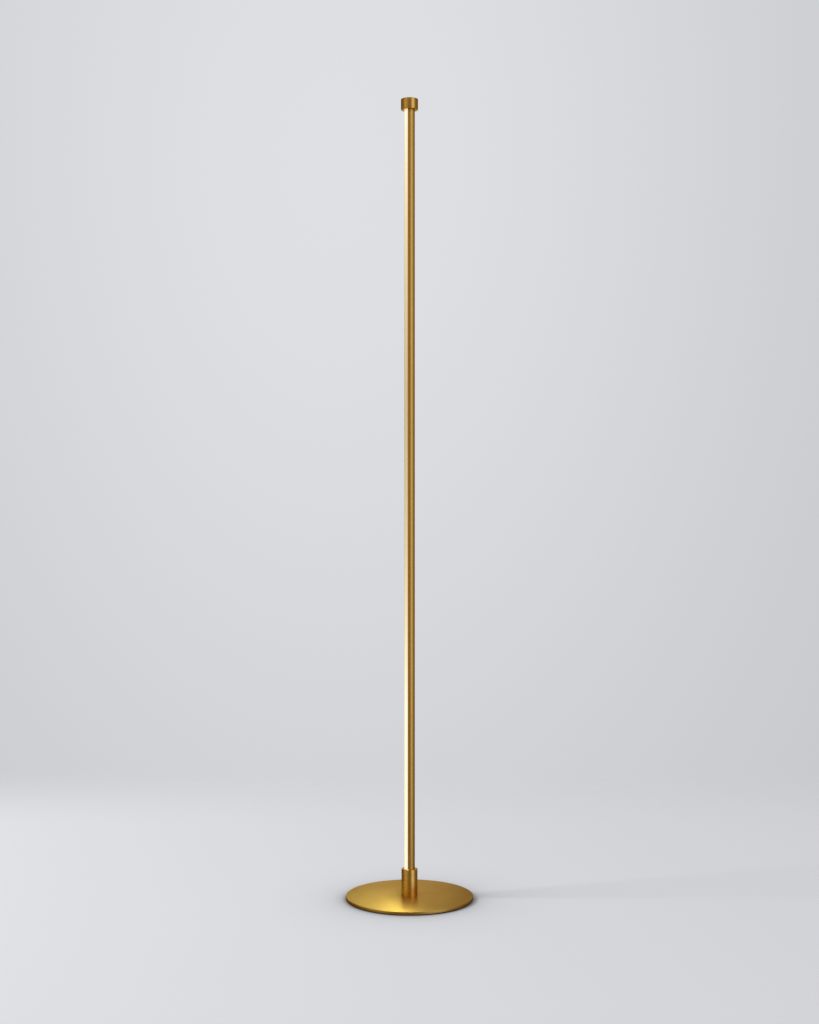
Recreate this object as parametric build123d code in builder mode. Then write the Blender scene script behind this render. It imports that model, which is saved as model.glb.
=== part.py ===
from build123d import *

import os
from math import cos, degrees, radians, sin, sqrt, tan

# A slim LED floor lamp, in millimetres. A round plate carries a turned collar, and a light
# column swivels in the collar: an extruded profile with a clip-in diffuser and a turned cap.
# +Z is up and the floor is z = 0. At rest the light faces -X. The cord enters at the rear, +Y.

# Whole lamp
LAMP_HEIGHT = 1500.0

# Base plate and the pad under it
BASE_DIAMETER = 238.0
PLATE_THICKNESS = 5.0
PLATE_CHAMFER = 0.5
PAD_THICKNESS = 1.5
PAD_INSET = 3.0

# Section of the light column
ROD_DIAMETER = 20.0
PROFILE_WALL = 1.4
SLOT_HALF_ANGLE = 70.5
WEB_SETBACK = 0.5
WEB_THICKNESS = 1.4
DIFFUSER_WALL = 1.2
DIFFUSER_SEAM = 0.1

# Clips that hold the diffuser behind the profile's lips, with angles about the column's axis
CLIP_WALL = 1.2
CLIP_GAP = 0.1
CLIP_REACH_ANGLE = 13.0
CLIP_ROOT_ANGLE = 7.0
SNAP_RADIUS = 0.35
SNAP_GAP = 0.1
SNAP_INSET_ANGLE = 4.0

# LED board, its phosphor bead and its leads
BOARD_WIDTH = 8.0
BOARD_THICKNESS = 0.3
BOARD_END_GAP = 3.0
BEAD_WIDTH = 3.0
BEAD_HEIGHT = 0.8
BEAD_END_GAP = 4.0
LEAD_DIAMETER = 1.4
LEAD_SPACING = 2.6
LEAD_LAP = 8.0
LEAD_SLACK = 2.0

# Connector at the lower end of the leads
CONNECTOR_WIDTH = 8.0
CONNECTOR_DEPTH = 5.0
CONNECTOR_HEIGHT = 8.5
CONNECTOR_CORNER = 0.6
CONNECTOR_CLEARANCE = 1.0
CONNECTOR_SOCKET = 1.8
CONNECTOR_SOCKET_DEPTH = 6.0
CONNECTOR_RIB_WIDTH = 2.0
CONNECTOR_RIB_HEIGHT = 0.8

# Collar on the plate
COLLAR_HEIGHT = 50.0
COLLAR_WALL = 4.6
COLLAR_CHAMFER = 0.6
MOUTH_GAP = 0.4
FLOOR_SKIN = 1.0

# Countersunk bolt from the plate's underside into the collar
BOLT_DIAMETER = 8.0
BOLT_HEAD = 15.0
BOLT_REACH = 8.0
BOLT_SOCKET = 5.0
BOLT_SOCKET_DEPTH = 3.0
COUNTERSINK_ANGLE = 90.0
TAP_SPARE = 0.5
TAP_GAP = 0.05
HEAD_GAP = 0.1

# Swivel: bush, journal and the ring that brakes it
JOURNAL_DIAMETER = 14.0
JOURNAL_BORE = 7.0
RUNNING_GAP = 0.05
THRUST_GAP = 0.05
BUSH_WALL = 1.45
BUSH_LENGTH = 8.0
BUSH_PRESS_GAP = 0.02
FLANGE_THICKNESS = 1.3
FLANGE_GAP = 0.2
SHOULDER_THICKNESS = 3.5
RING_SECTION = 1.6
RING_SIDE_GAP = 0.3
RING_FLOOR_GAP = 0.05

# Stop groove of the journal and the dog-point screw that runs in it
STOP_GROOVE_DEPTH = 1.6
STOP_GROOVE_LAND = 1.5
STOP_RIB_ANGLE = 8.0
DOG_DIAMETER = 2.5
DOG_SIDE_GAP = 0.25
DOG_TIP_GAP = 0.3
RETAINING_SCREW_DIAMETER = 4.0
RETAINING_SCREW_SOCKET = 2.0
RETAINING_BORE_GAP = 0.5

# Tenons that fill the profile's rear chamber, and the screw that holds each of them
TENON_GAP = 0.1
TENON_LENGTH = 22.0
TENON_SCREW_RISE = 5.5
TENON_SCREW_DIAMETER = 4.0
TENON_SCREW_LENGTH = 5.0
TENON_SCREW_SOCKET = 2.0

# Cap and its insert
CAP_HEIGHT = 20.0
CAP_WALL = 5.6
CAP_ROOF = 5.0
CAP_CHAMFER = 0.6
INSERT_THICKNESS = 4.0
INSERT_GAP = 0.05
CAP_SCREW_DIAMETER = 3.0
CAP_SCREW_SOCKET = 1.5

# Set screws: how deep they stand in their holes, and their sockets
SET_SCREW_SINK = 0.4
SET_SCREW_SOCKET_DEPTH = 1.6

# Grommet where the cord enters the collar
GROMMET_BORE = 5.2
GROMMET_WALL = 1.4
GROMMET_FLANGE_WIDTH = 1.2
GROMMET_FLANGE_THICKNESS = 1.6
GROMMET_HOLE_GAP = 0.05
GROMMET_END_GAP = 0.1
SPOT_FACE_GAP = 0.2

# Radii worked out from the sizes above
rod_radius = ROD_DIAMETER / 2
profile_inner_radius = rod_radius - PROFILE_WALL
mouth_radius = rod_radius + MOUTH_GAP
collar_radius = mouth_radius + COLLAR_WALL
cap_radius = mouth_radius + CAP_WALL
base_radius = BASE_DIAMETER / 2
journal_radius = JOURNAL_DIAMETER / 2
bush_inner_radius = journal_radius + RUNNING_GAP
bush_outer_radius = bush_inner_radius + BUSH_WALL
chamber_radius = bush_outer_radius + BUSH_PRESS_GAP
stop_groove_radius = journal_radius - STOP_GROOVE_DEPTH
stop_groove_width = DOG_DIAMETER + 2 * DOG_SIDE_GAP
ring_groove_radius = journal_radius - RING_SECTION - RING_FLOOR_GAP
ring_groove_width = RING_SECTION + 2 * RING_SIDE_GAP
tenon_radius = profile_inner_radius - TENON_GAP
insert_radius = mouth_radius - INSERT_GAP
lead_radius = LEAD_DIAMETER / 2
grommet_radius = GROMMET_BORE / 2 + GROMMET_WALL
grommet_flange_radius = grommet_radius + GROMMET_FLANGE_WIDTH
spot_face_radius = grommet_flange_radius + SPOT_FACE_GAP

# Heights, from the floor up to the column's lower end
plate_bottom = PAD_THICKNESS
plate_top = plate_bottom + PLATE_THICKNESS
collar_top = plate_top + COLLAR_HEIGHT
chamber_floor = plate_top + BOLT_REACH + TAP_SPARE + FLOOR_SKIN
connector_bottom = chamber_floor + CONNECTOR_CLEARANCE
connector_top = connector_bottom + CONNECTOR_HEIGHT
journal_bottom = connector_top + LEAD_SLACK
stop_groove_bottom = journal_bottom + STOP_GROOVE_LAND
stop_groove_top = stop_groove_bottom + stop_groove_width
stop_groove_middle = (stop_groove_bottom + stop_groove_top) / 2
bush_bottom = stop_groove_top + STOP_GROOVE_LAND
bush_step = bush_bottom + BUSH_LENGTH
bush_top = bush_step + FLANGE_THICKNESS
ring_height = (bush_bottom + bush_step) / 2
shoulder_bottom = bush_top + THRUST_GAP
rod_bottom = shoulder_bottom + SHOULDER_THICKNESS
grommet_height = (chamber_floor + journal_bottom) / 2

# Heights, from the lamp's top down to the column's upper end
cap_bottom = LAMP_HEIGHT - CAP_HEIGHT
cap_bore_top = LAMP_HEIGHT - CAP_ROOF
rod_top = cap_bore_top - INSERT_THICKNESS
rod_length = rod_top - rod_bottom
board_bottom = rod_bottom + BOARD_END_GAP
board_top = rod_top - BOARD_END_GAP
lead_top = board_bottom + LEAD_LAP

# Places across the column: the web's two faces, the board's face and the leads on it
web_face = WEB_SETBACK
web_back = WEB_SETBACK + WEB_THICKNESS
board_face = web_face - BOARD_THICKNESS
lead_x = board_face - lead_radius
lip_angle = 180.0 - SLOT_HALF_ANGLE
seam_angle = degrees(DIFFUSER_SEAM / rod_radius)
clip_outer_radius = profile_inner_radius - CLIP_GAP
clip_inner_radius = clip_outer_radius - CLIP_WALL
clip_end_angle = lip_angle - CLIP_REACH_ANGLE
clip_sweep_angle = CLIP_REACH_ANGLE + CLIP_ROOT_ANGLE
snap_angle = clip_end_angle + SNAP_INSET_ANGLE
snap_x = clip_outer_radius * cos(radians(snap_angle))
snap_y = clip_outer_radius * sin(radians(snap_angle))

# Angles about the axis, from +X: the lamp's rear, and the profile's back
REAR = 90.0
PROFILE_BACK = 0.0


def radial_plane(radius, angle, height):
    """A plane that stands at an angle about the lamp's axis and faces outwards."""
    outwards = Vector(cos(radians(angle)), sin(radians(angle)), 0)
    sideways = Vector(-sin(radians(angle)), cos(radians(angle)), 0)
    return Plane(origin=outwards * radius + Vector(0, 0, height), x_dir=sideways, z_dir=outwards)


def ring_sector(inner_radius, outer_radius, start_angle, sweep_angle):
    """A sector of a ring about the column's axis."""
    with BuildSketch() as sector:
        with BuildLine():
            outer_arc = CenterArc((0, 0), outer_radius, start_angle, sweep_angle)
            inner_arc = CenterArc((0, 0), inner_radius, start_angle, sweep_angle)
            Line(outer_arc @ 0, inner_arc @ 0)
            Line(outer_arc @ 1, inner_arc @ 1)
        make_face()
    return sector.sketch


def tenon_section():
    """The rear chamber of the profile, less the gap that lets a tenon slide in."""
    front = web_back + TENON_GAP
    with BuildSketch() as section:
        Circle(tenon_radius)
        with Locations((front, 0)):
            Rectangle(
                2 * tenon_radius, 2 * tenon_radius, align=(Align.MIN, Align.CENTER), mode=Mode.INTERSECT
            )
    return section.sketch


def set_screw(diameter, length, socket_width):
    """A socket set screw that points down from its outer end at z = 0."""
    with BuildPart() as screw:
        with BuildSketch():
            Circle(diameter / 2)
        extrude(amount=-length)
        with BuildSketch():
            RegularPolygon(socket_width / 2, 6, major_radius=False)
        extrude(amount=-SET_SCREW_SOCKET_DEPTH, mode=Mode.SUBTRACT)
    return screw.part


# At each end of the column a set screw stands in the profile's wall and is threaded in the tenon
tenon_screw_radius = rod_radius - SET_SCREW_SINK
plug_screw_height = rod_bottom + TENON_SCREW_RISE
insert_screw_height = rod_top - TENON_SCREW_RISE
plug_hole_plane = radial_plane(rod_radius, PROFILE_BACK, plug_screw_height)
insert_hole_plane = radial_plane(rod_radius, PROFILE_BACK, insert_screw_height)
tenon_hole_radius = TENON_SCREW_DIAMETER / 2 + TAP_GAP
tenon_hole_depth = SET_SCREW_SINK + TENON_SCREW_LENGTH + TAP_SPARE

# The pad stands back from the plate's edge, so the plate seems to float on a shadow line
with BuildPart() as base_pad:
    with BuildSketch():
        Circle(base_radius - PAD_INSET)
    extrude(amount=PAD_THICKNESS)

base_pad.part.label = "base_pad"

# The plate has an eased top edge and a countersunk hole in the middle of its underside
plate_underside = Plane(origin=(0, 0, plate_bottom), x_dir=(1, 0, 0), z_dir=(0, 0, -1))
with BuildPart() as base_plate:
    with BuildSketch(Plane.XY.offset(plate_bottom)):
        Circle(base_radius)
    extrude(amount=PLATE_THICKNESS)
    chamfer(base_plate.edges().filter_by(GeomType.CIRCLE).sort_by(Axis.Z)[-1], PLATE_CHAMFER)
    with Locations(plate_underside):
        CounterSinkHole(
            BOLT_DIAMETER / 2 + HEAD_GAP,
            BOLT_HEAD / 2 + HEAD_GAP,
            counter_sink_angle=COUNTERSINK_ANGLE,
        )

base_plate.part.label = "base_plate"

# One countersunk bolt holds the collar on the plate, flush with the plate's underside
bolt_cone_height = (BOLT_HEAD - BOLT_DIAMETER) / 2 / tan(radians(COUNTERSINK_ANGLE / 2))
with BuildPart() as base_bolt:
    with BuildSketch(Plane.XZ):
        with BuildLine():
            Polyline(
                (0, plate_bottom),
                (BOLT_HEAD / 2, plate_bottom),
                (BOLT_DIAMETER / 2, plate_bottom + bolt_cone_height),
                (BOLT_DIAMETER / 2, plate_top + BOLT_REACH),
                (0, plate_top + BOLT_REACH),
                close=True,
            )
        make_face()
    revolve(axis=Axis.Z)
    with BuildSketch(Plane.XY.offset(plate_bottom)):
        RegularPolygon(BOLT_SOCKET / 2, 6, major_radius=False)
    extrude(amount=BOLT_SOCKET_DEPTH, mode=Mode.SUBTRACT)

base_bolt.part.label = "base_bolt"

# The collar is turned: a mouth for the column, a step for the bush and a chamber for the wiring
spot_face_y = sqrt(collar_radius**2 - spot_face_radius**2)
collar_underside = Plane(origin=(0, 0, plate_top), x_dir=(1, 0, 0), z_dir=(0, 0, -1))
with BuildPart() as collar:
    with BuildSketch(Plane.XZ):
        with BuildLine():
            Polyline(
                (0, plate_top),
                (collar_radius, plate_top),
                (collar_radius, collar_top),
                (mouth_radius, collar_top),
                (mouth_radius, bush_step),
                (chamber_radius, bush_step),
                (chamber_radius, chamber_floor),
                (0, chamber_floor),
                close=True,
            )
        make_face()
    revolve(axis=Axis.Z)
    collar_rims = collar.edges().filter_by(GeomType.CIRCLE).group_by(Axis.Z)[-1]
    chamfer(collar_rims.sort_by(SortBy.RADIUS)[-1], COLLAR_CHAMFER)
    with Locations(radial_plane(collar_radius, REAR, grommet_height)):
        CounterBoreHole(
            grommet_radius + GROMMET_HOLE_GAP,
            spot_face_radius,
            collar_radius - spot_face_y,
            depth=collar_radius,
        )
    with Locations(radial_plane(collar_radius, REAR, stop_groove_middle)):
        Hole(RETAINING_SCREW_DIAMETER / 2 + TAP_GAP, depth=collar_radius)
    with Locations(collar_underside):
        Hole(BOLT_DIAMETER / 2 + TAP_GAP, depth=BOLT_REACH + TAP_SPARE)

collar.part.label = "collar"

# The grommet sits in the spot face, with its flange outside
grommet_inner_end = chamber_radius + GROMMET_END_GAP
grommet_seat = radial_plane(spot_face_y, REAR, grommet_height)
with BuildPart() as cord_grommet:
    with BuildSketch(grommet_seat):
        Circle(grommet_flange_radius)
    extrude(amount=GROMMET_FLANGE_THICKNESS)
    with BuildSketch(grommet_seat):
        Circle(grommet_radius)
    extrude(amount=grommet_inner_end - spot_face_y)
    with Locations(grommet_seat):
        Hole(GROMMET_BORE / 2)

cord_grommet.part.label = "cord_grommet"

# The bush: a sleeve that lines the collar and a flange that carries the column's weight
with BuildPart() as swivel_bush:
    with BuildSketch(Plane.XZ):
        with BuildLine():
            Polyline(
                (bush_inner_radius, bush_bottom),
                (bush_outer_radius, bush_bottom),
                (bush_outer_radius, bush_step),
                (mouth_radius - FLANGE_GAP, bush_step),
                (mouth_radius - FLANGE_GAP, bush_top),
                (bush_inner_radius, bush_top),
                close=True,
            )
        make_face()
    revolve(axis=Axis.Z)

swivel_bush.part.label = "swivel_bush"

# The retaining screw's dog runs in the stop groove and stops the swivel at the groove's rib
retaining_outer_end = collar_radius - SET_SCREW_SINK
retaining_inner_end = chamber_radius + RETAINING_BORE_GAP
dog_tip = stop_groove_radius + DOG_TIP_GAP
retaining_body = set_screw(
    RETAINING_SCREW_DIAMETER, retaining_outer_end - retaining_inner_end, RETAINING_SCREW_SOCKET
)
with BuildPart() as retaining_screw:
    with Locations(radial_plane(retaining_outer_end, REAR, stop_groove_middle)):
        add(retaining_body)
    with BuildSketch(radial_plane(retaining_inner_end, REAR, stop_groove_middle)):
        Circle(DOG_DIAMETER / 2)
    extrude(amount=dog_tip - retaining_inner_end)

retaining_screw.part.label = "retaining_screw"

# The plug: a bored journal, a shoulder that carries the column, and a tenon up inside it
with BuildPart() as swivel_plug:
    with BuildSketch(Plane.XY.offset(journal_bottom)):
        Circle(journal_radius)
    extrude(amount=shoulder_bottom - journal_bottom)
    with BuildSketch(Plane.XY.offset(shoulder_bottom)):
        Circle(rod_radius)
    extrude(amount=SHOULDER_THICKNESS)
    with Locations((0, 0, rod_bottom)):
        Hole(JOURNAL_BORE / 2)
    with BuildSketch(Plane.XY.offset(rod_bottom)):
        add(tenon_section())
    extrude(amount=TENON_LENGTH)
    with BuildSketch(Plane.XZ):
        with Locations((ring_groove_radius, ring_height)):
            Rectangle(JOURNAL_DIAMETER, ring_groove_width, align=(Align.MIN, Align.CENTER))
    revolve(axis=Axis.Z, mode=Mode.SUBTRACT)
    with BuildSketch(Plane.XZ.rotated((0, 0, STOP_RIB_ANGLE / 2 - REAR))):
        with Locations((stop_groove_radius, stop_groove_middle)):
            Rectangle(JOURNAL_DIAMETER, stop_groove_width, align=(Align.MIN, Align.CENTER))
    revolve(axis=Axis.Z, revolution_arc=360 - STOP_RIB_ANGLE, mode=Mode.SUBTRACT)
    with Locations(plug_hole_plane):
        Hole(tenon_hole_radius, depth=tenon_hole_depth)

swivel_plug.part.label = "swivel_plug"

# A square-section rubber ring in the journal's groove rubs on the bush
with BuildPart() as friction_ring:
    with BuildSketch(Plane.XY.offset(ring_height)):
        Circle(journal_radius)
        Circle(journal_radius - RING_SECTION, mode=Mode.SUBTRACT)
    extrude(amount=RING_SECTION / 2, both=True)

friction_ring.part.label = "friction_ring"

tenon_screw = set_screw(TENON_SCREW_DIAMETER, TENON_SCREW_LENGTH, TENON_SCREW_SOCKET)
with BuildPart() as plug_screw:
    with Locations(radial_plane(tenon_screw_radius, PROFILE_BACK, plug_screw_height)):
        add(tenon_screw)

plug_screw.part.label = "plug_screw"

# The profile: an open ring with a web for the board and a snap groove behind each lip
web_half_width = sqrt((rod_radius - PROFILE_WALL / 2) ** 2 - web_back**2)
with BuildPart() as column_profile:
    with BuildSketch(Plane.XY.offset(rod_bottom)):
        add(ring_sector(profile_inner_radius, rod_radius, -lip_angle, 2 * lip_angle))
        with Locations((web_face, 0)):
            Rectangle(WEB_THICKNESS, 2 * web_half_width, align=(Align.MIN, Align.CENTER))
        with Locations((snap_x, snap_y), (snap_x, -snap_y)):
            Circle(SNAP_RADIUS + SNAP_GAP, mode=Mode.SUBTRACT)
    extrude(amount=rod_length)
    with Locations(plug_hole_plane, insert_hole_plane):
        Hole(tenon_hole_radius, depth=tenon_hole_depth)

column_profile.part.label = "column_profile"

# The diffuser completes the round of the profile, and two legs clip behind its lips
diffuser_start = lip_angle + seam_angle
diffuser_sweep = 2 * (180 - diffuser_start)
with BuildPart() as diffuser:
    with BuildSketch(Plane.XY.offset(rod_bottom)):
        add(ring_sector(clip_inner_radius, clip_outer_radius, clip_end_angle, clip_sweep_angle))
        add(ring_sector(clip_inner_radius, rod_radius, diffuser_start, CLIP_ROOT_ANGLE - seam_angle))
        with Locations((snap_x, snap_y)):
            Circle(SNAP_RADIUS)
        mirror(about=Plane.XZ)
        add(ring_sector(rod_radius - DIFFUSER_WALL, rod_radius, diffuser_start, diffuser_sweep))
    extrude(amount=rod_length)

diffuser.part.label = "diffuser"

with BuildPart() as led_board:
    with BuildSketch(Plane.XY.offset(board_bottom)):
        with Locations((board_face, 0)):
            Rectangle(BOARD_THICKNESS, BOARD_WIDTH, align=(Align.MIN, Align.CENTER))
    extrude(amount=board_top - board_bottom)

led_board.part.label = "led_board"

# The phosphor bead is a low dome along the middle of the board
bead_bottom = lead_top + BEAD_END_GAP
bead_top = board_top - BEAD_END_GAP
with BuildPart() as led_phosphor:
    with BuildSketch(Plane.XY.offset(bead_bottom)):
        with BuildLine():
            bead_chord = Line((board_face, -BEAD_WIDTH / 2), (board_face, BEAD_WIDTH / 2))
            ThreePointArc(bead_chord @ 0, (board_face - BEAD_HEIGHT, 0), bead_chord @ 1)
        make_face()
    extrude(amount=bead_top - bead_bottom)

led_phosphor.part.label = "led_phosphor"

# The two leads lie on the board's face and hang straight down through the journal's bore
with BuildPart() as lead_positive:
    with BuildSketch(Plane.XY.offset(connector_top)):
        with Locations((lead_x, LEAD_SPACING / 2)):
            Circle(lead_radius)
    extrude(amount=lead_top - connector_top)

lead_positive.part.label = "lead_positive"

with BuildPart() as lead_negative:
    with BuildSketch(Plane.XY.offset(connector_top)):
        with Locations((lead_x, -LEAD_SPACING / 2)):
            Circle(lead_radius)
    extrude(amount=lead_top - connector_top)

lead_negative.part.label = "lead_negative"

# The connector hangs on the leads, with two sockets below and a polarising rib at one side
with BuildPart() as lead_connector:
    with BuildSketch(Plane.XY.offset(connector_bottom)):
        with Locations((lead_x, 0)):
            RectangleRounded(CONNECTOR_DEPTH, CONNECTOR_WIDTH, CONNECTOR_CORNER)
        with Locations((lead_x + CONNECTOR_DEPTH / 2, 0)):
            Rectangle(2 * CONNECTOR_RIB_HEIGHT, CONNECTOR_RIB_WIDTH)
    extrude(amount=CONNECTOR_HEIGHT)
    with BuildSketch(Plane.XY.offset(connector_bottom)):
        with Locations((lead_x, -LEAD_SPACING / 2), (lead_x, LEAD_SPACING / 2)):
            Rectangle(CONNECTOR_SOCKET, CONNECTOR_SOCKET)
    extrude(amount=CONNECTOR_SOCKET_DEPTH, mode=Mode.SUBTRACT)

lead_connector.part.label = "lead_connector"

# The insert closes the column's upper end and carries the cap
with BuildPart() as cap_insert:
    with BuildSketch(Plane.XY.offset(rod_top)):
        Circle(insert_radius)
    extrude(amount=INSERT_THICKNESS)
    with BuildSketch(Plane.XY.offset(rod_top)):
        add(tenon_section())
    extrude(amount=-TENON_LENGTH)
    with Locations(insert_hole_plane):
        Hole(tenon_hole_radius, depth=tenon_hole_depth)

cap_insert.part.label = "cap_insert"

with BuildPart() as insert_screw:
    with Locations(radial_plane(tenon_screw_radius, PROFILE_BACK, insert_screw_height)):
        add(tenon_screw)

insert_screw.part.label = "insert_screw"

# The cap is turned and slides over the insert, and a set screw at the rear holds it
cap_screw_height = (rod_top + cap_bore_top) / 2
with BuildPart() as top_cap:
    with BuildSketch(Plane.XZ):
        with BuildLine():
            Polyline(
                (0, LAMP_HEIGHT),
                (cap_radius, LAMP_HEIGHT),
                (cap_radius, cap_bottom),
                (mouth_radius, cap_bottom),
                (mouth_radius, cap_bore_top),
                (0, cap_bore_top),
                close=True,
            )
        make_face()
    revolve(axis=Axis.Z)
    chamfer(top_cap.edges().filter_by(GeomType.CIRCLE).sort_by(Axis.Z)[-1], CAP_CHAMFER)
    with Locations(radial_plane(cap_radius, REAR, cap_screw_height)):
        Hole(CAP_SCREW_DIAMETER / 2 + TAP_GAP, depth=cap_radius - mouth_radius + INSERT_GAP)

top_cap.part.label = "top_cap"

cap_screw_outer_end = cap_radius - SET_SCREW_SINK
cap_screw_body = set_screw(CAP_SCREW_DIAMETER, cap_screw_outer_end - insert_radius, CAP_SCREW_SOCKET)
with BuildPart() as cap_set_screw:
    with Locations(radial_plane(cap_screw_outer_end, REAR, cap_screw_height)):
        add(cap_screw_body)

cap_set_screw.part.label = "cap_set_screw"

pieces = [
    base_plate,
    base_pad,
    collar,
    base_bolt,
    swivel_bush,
    retaining_screw,
    cord_grommet,
    swivel_plug,
    friction_ring,
    plug_screw,
    column_profile,
    diffuser,
    led_board,
    led_phosphor,
    lead_positive,
    lead_negative,
    lead_connector,
    top_cap,
    cap_insert,
    insert_screw,
    cap_set_screw,
]
os.makedirs("parts", exist_ok=True)
for piece in pieces:
    export_step(piece.part, f"parts/{piece.part.label}.step")
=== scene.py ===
from math import acos, asin, ceil, cos, degrees, pi, radians, sin, tan

import bmesh
import bpy
from bpy.props import FloatProperty, FloatVectorProperty, PointerProperty
from mathutils import Matrix, Vector


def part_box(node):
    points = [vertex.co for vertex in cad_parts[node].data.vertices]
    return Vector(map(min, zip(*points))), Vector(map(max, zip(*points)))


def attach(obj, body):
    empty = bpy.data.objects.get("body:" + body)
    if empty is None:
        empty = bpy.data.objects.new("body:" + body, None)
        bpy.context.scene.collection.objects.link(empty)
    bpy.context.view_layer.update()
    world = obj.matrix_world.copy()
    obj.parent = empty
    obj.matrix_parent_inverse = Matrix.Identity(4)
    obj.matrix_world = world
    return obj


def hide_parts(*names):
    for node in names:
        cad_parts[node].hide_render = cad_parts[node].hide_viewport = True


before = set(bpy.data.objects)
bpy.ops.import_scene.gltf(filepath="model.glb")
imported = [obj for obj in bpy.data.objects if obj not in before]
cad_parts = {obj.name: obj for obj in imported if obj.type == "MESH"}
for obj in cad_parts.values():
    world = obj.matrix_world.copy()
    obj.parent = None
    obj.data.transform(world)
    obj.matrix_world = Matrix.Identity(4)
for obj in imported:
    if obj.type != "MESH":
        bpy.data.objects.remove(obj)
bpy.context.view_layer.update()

bl_info = {
    "name": "LED Floor Lamp",
    "version": (1, 0, 0),
    "blender": (4, 5, 0),
    "location": "View3D > Sidebar > Floor Lamp",
    "description": "Dresses the frame of a slim LED floor lamp and sets it in a plain studio",
    "category": "Object",
}

MM = 0.001

# Steps of a lathe's turn, of a drill bit, of an eased corner and of an eased edge on a node of the frame
LATHE_STEPS = 192
BIT_STEPS = 64
CORNER_STEPS = 4
EDGE_STEPS = 2
# Degrees in a step of an arc
ARC_STEP = 2.5
# Edges that turn by more than this stay sharp, and points closer than this become one
SHARP_ANGLE = radians(32.0)
WELD_DISTANCE = 0.0001 * MM


def linear(hex_colour):
    """An sRGB hex colour, such as #C08A3E, as linear red, green, blue and alpha."""
    channels = [int(hex_colour[start : start + 2], 16) / 255 for start in (1, 3, 5)]
    return (*(c / 12.92 if c <= 0.04045 else ((c + 0.055) / 1.055) ** 2.4 for c in channels), 1.0)


def length(name, description, millimetres):
    """A length that a user can change, written in millimetres."""
    return FloatProperty(
        name=name, description=description, default=millimetres * MM, min=0.0, unit="LENGTH", precision=5
    )


def angle(name, description, in_degrees):
    """An angle that a user can change, written in degrees."""
    return FloatProperty(name=name, description=description, default=radians(in_degrees), subtype="ANGLE")


def colour(name, description, hex_colour):
    """A colour that a user can change, written in sRGB hex."""
    return FloatVectorProperty(
        name=name,
        description=description,
        default=linear(hex_colour),
        size=4,
        min=0.0,
        max=1.0,
        subtype="COLOR",
    )


def strength(name, description, value):
    """A strength of light that a user can change, where 1 shows as white."""
    return FloatProperty(name=name, description=description, default=value, min=0.0)


def power(name, description, watts):
    """The power of a light that a user can change."""
    return FloatProperty(name=name, description=description, default=watts, min=0.0, unit="POWER")


class LampSizes(bpy.types.PropertyGroup):
    """Sizes of the lamp's pieces that their boxes in the frame don't give"""

    plate_ease: length("Plate ease", "Round on the plate's edges", 0.5)
    pad_ease: length("Pad ease", "Round on the pad's edges", 0.3)
    bolt: length("Bolt", "Diameter of the bolt that holds the collar on the plate", 8.0)
    bolt_head_gap: length("Bolt head gap", "Gap round the bolt in the plate", 0.1)
    bolt_spare: length("Bolt spare", "Depth of the bolt's hole past its end", 0.5)
    thread_gap: length("Thread gap", "Gap round each screw in its threaded hole", 0.05)
    floor_skin: length("Floor skin", "Metal between the bolt's hole and the collar's chamber", 1.0)
    collar_ease: length("Collar ease", "Round on the collar's upper rim", 0.6)
    mouth_gap: length("Mouth gap", "Gap round the column in the collar and in the cap", 0.4)
    mouth_ease: length("Mouth ease", "Round on the rims next to the column", 0.25)
    bush_wall: length("Bush wall", "Wall of the bush's sleeve", 1.45)
    bush_gap: length("Bush gap", "Gaps on the two sides of the bush's sleeve, added up", 0.07)
    journal: length("Journal", "Diameter of the plug's journal", 14.0)
    bush_length: length("Bush length", "Length of the bush's sleeve", 8.0)
    cap_ease: length("Cap ease", "Round on the cap's outer rims", 0.6)
    cap_roof: length("Cap roof", "Thickness of the cap's top", 5.0)
    grommet_bore: length("Grommet bore", "Diameter of the grommet's bore", 5.2)
    grommet_wall: length("Grommet wall", "Wall of the grommet's sleeve", 1.4)
    grommet_flange: length("Grommet flange", "Thickness of the grommet's flange", 1.6)
    grommet_ease: length("Grommet ease", "Round on the grommet's flange, and half of it on its sleeve", 0.5)
    grommet_gap: length("Grommet gap", "Gap round the grommet's sleeve", 0.05)
    spot_face_gap: length("Spot face gap", "Gap round the grommet's flange in its spot face", 0.2)
    profile_wall: length("Profile wall", "Wall of the column's profile", 1.4)
    slot_half_angle: angle("Slot half angle", "Half of the light slot's opening, about the axis", 70.5)
    web_setback: length("Web setback", "From the column's axis back to the web's face", 0.5)
    web_thickness: length("Web thickness", "Thickness of the web that carries the board", 1.4)
    lip_ease: length("Lip ease", "Round on the edges along the slot", 0.15)
    diffuser_wall: length("Diffuser wall", "Wall of the diffuser", 1.2)
    diffuser_seam: length("Diffuser seam", "Gap between the diffuser and each lip", 0.1)
    clip_wall: length("Clip wall", "Thickness of the diffuser's clips", 1.2)
    clip_gap: length("Clip gap", "Gap between a clip and the profile's wall", 0.1)
    clip_reach: angle("Clip reach", "How far a clip reaches behind its lip, about the axis", 13.0)
    clip_root: angle("Clip root", "Width of a clip's root, about the axis", 7.0)
    snap_radius: length("Snap radius", "Radius of the bead on a clip", 0.35)
    snap_gap: length("Snap gap", "Gap round the bead in its groove", 0.1)
    snap_inset: angle("Snap inset", "From a clip's end to its bead, about the axis", 4.0)


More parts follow.
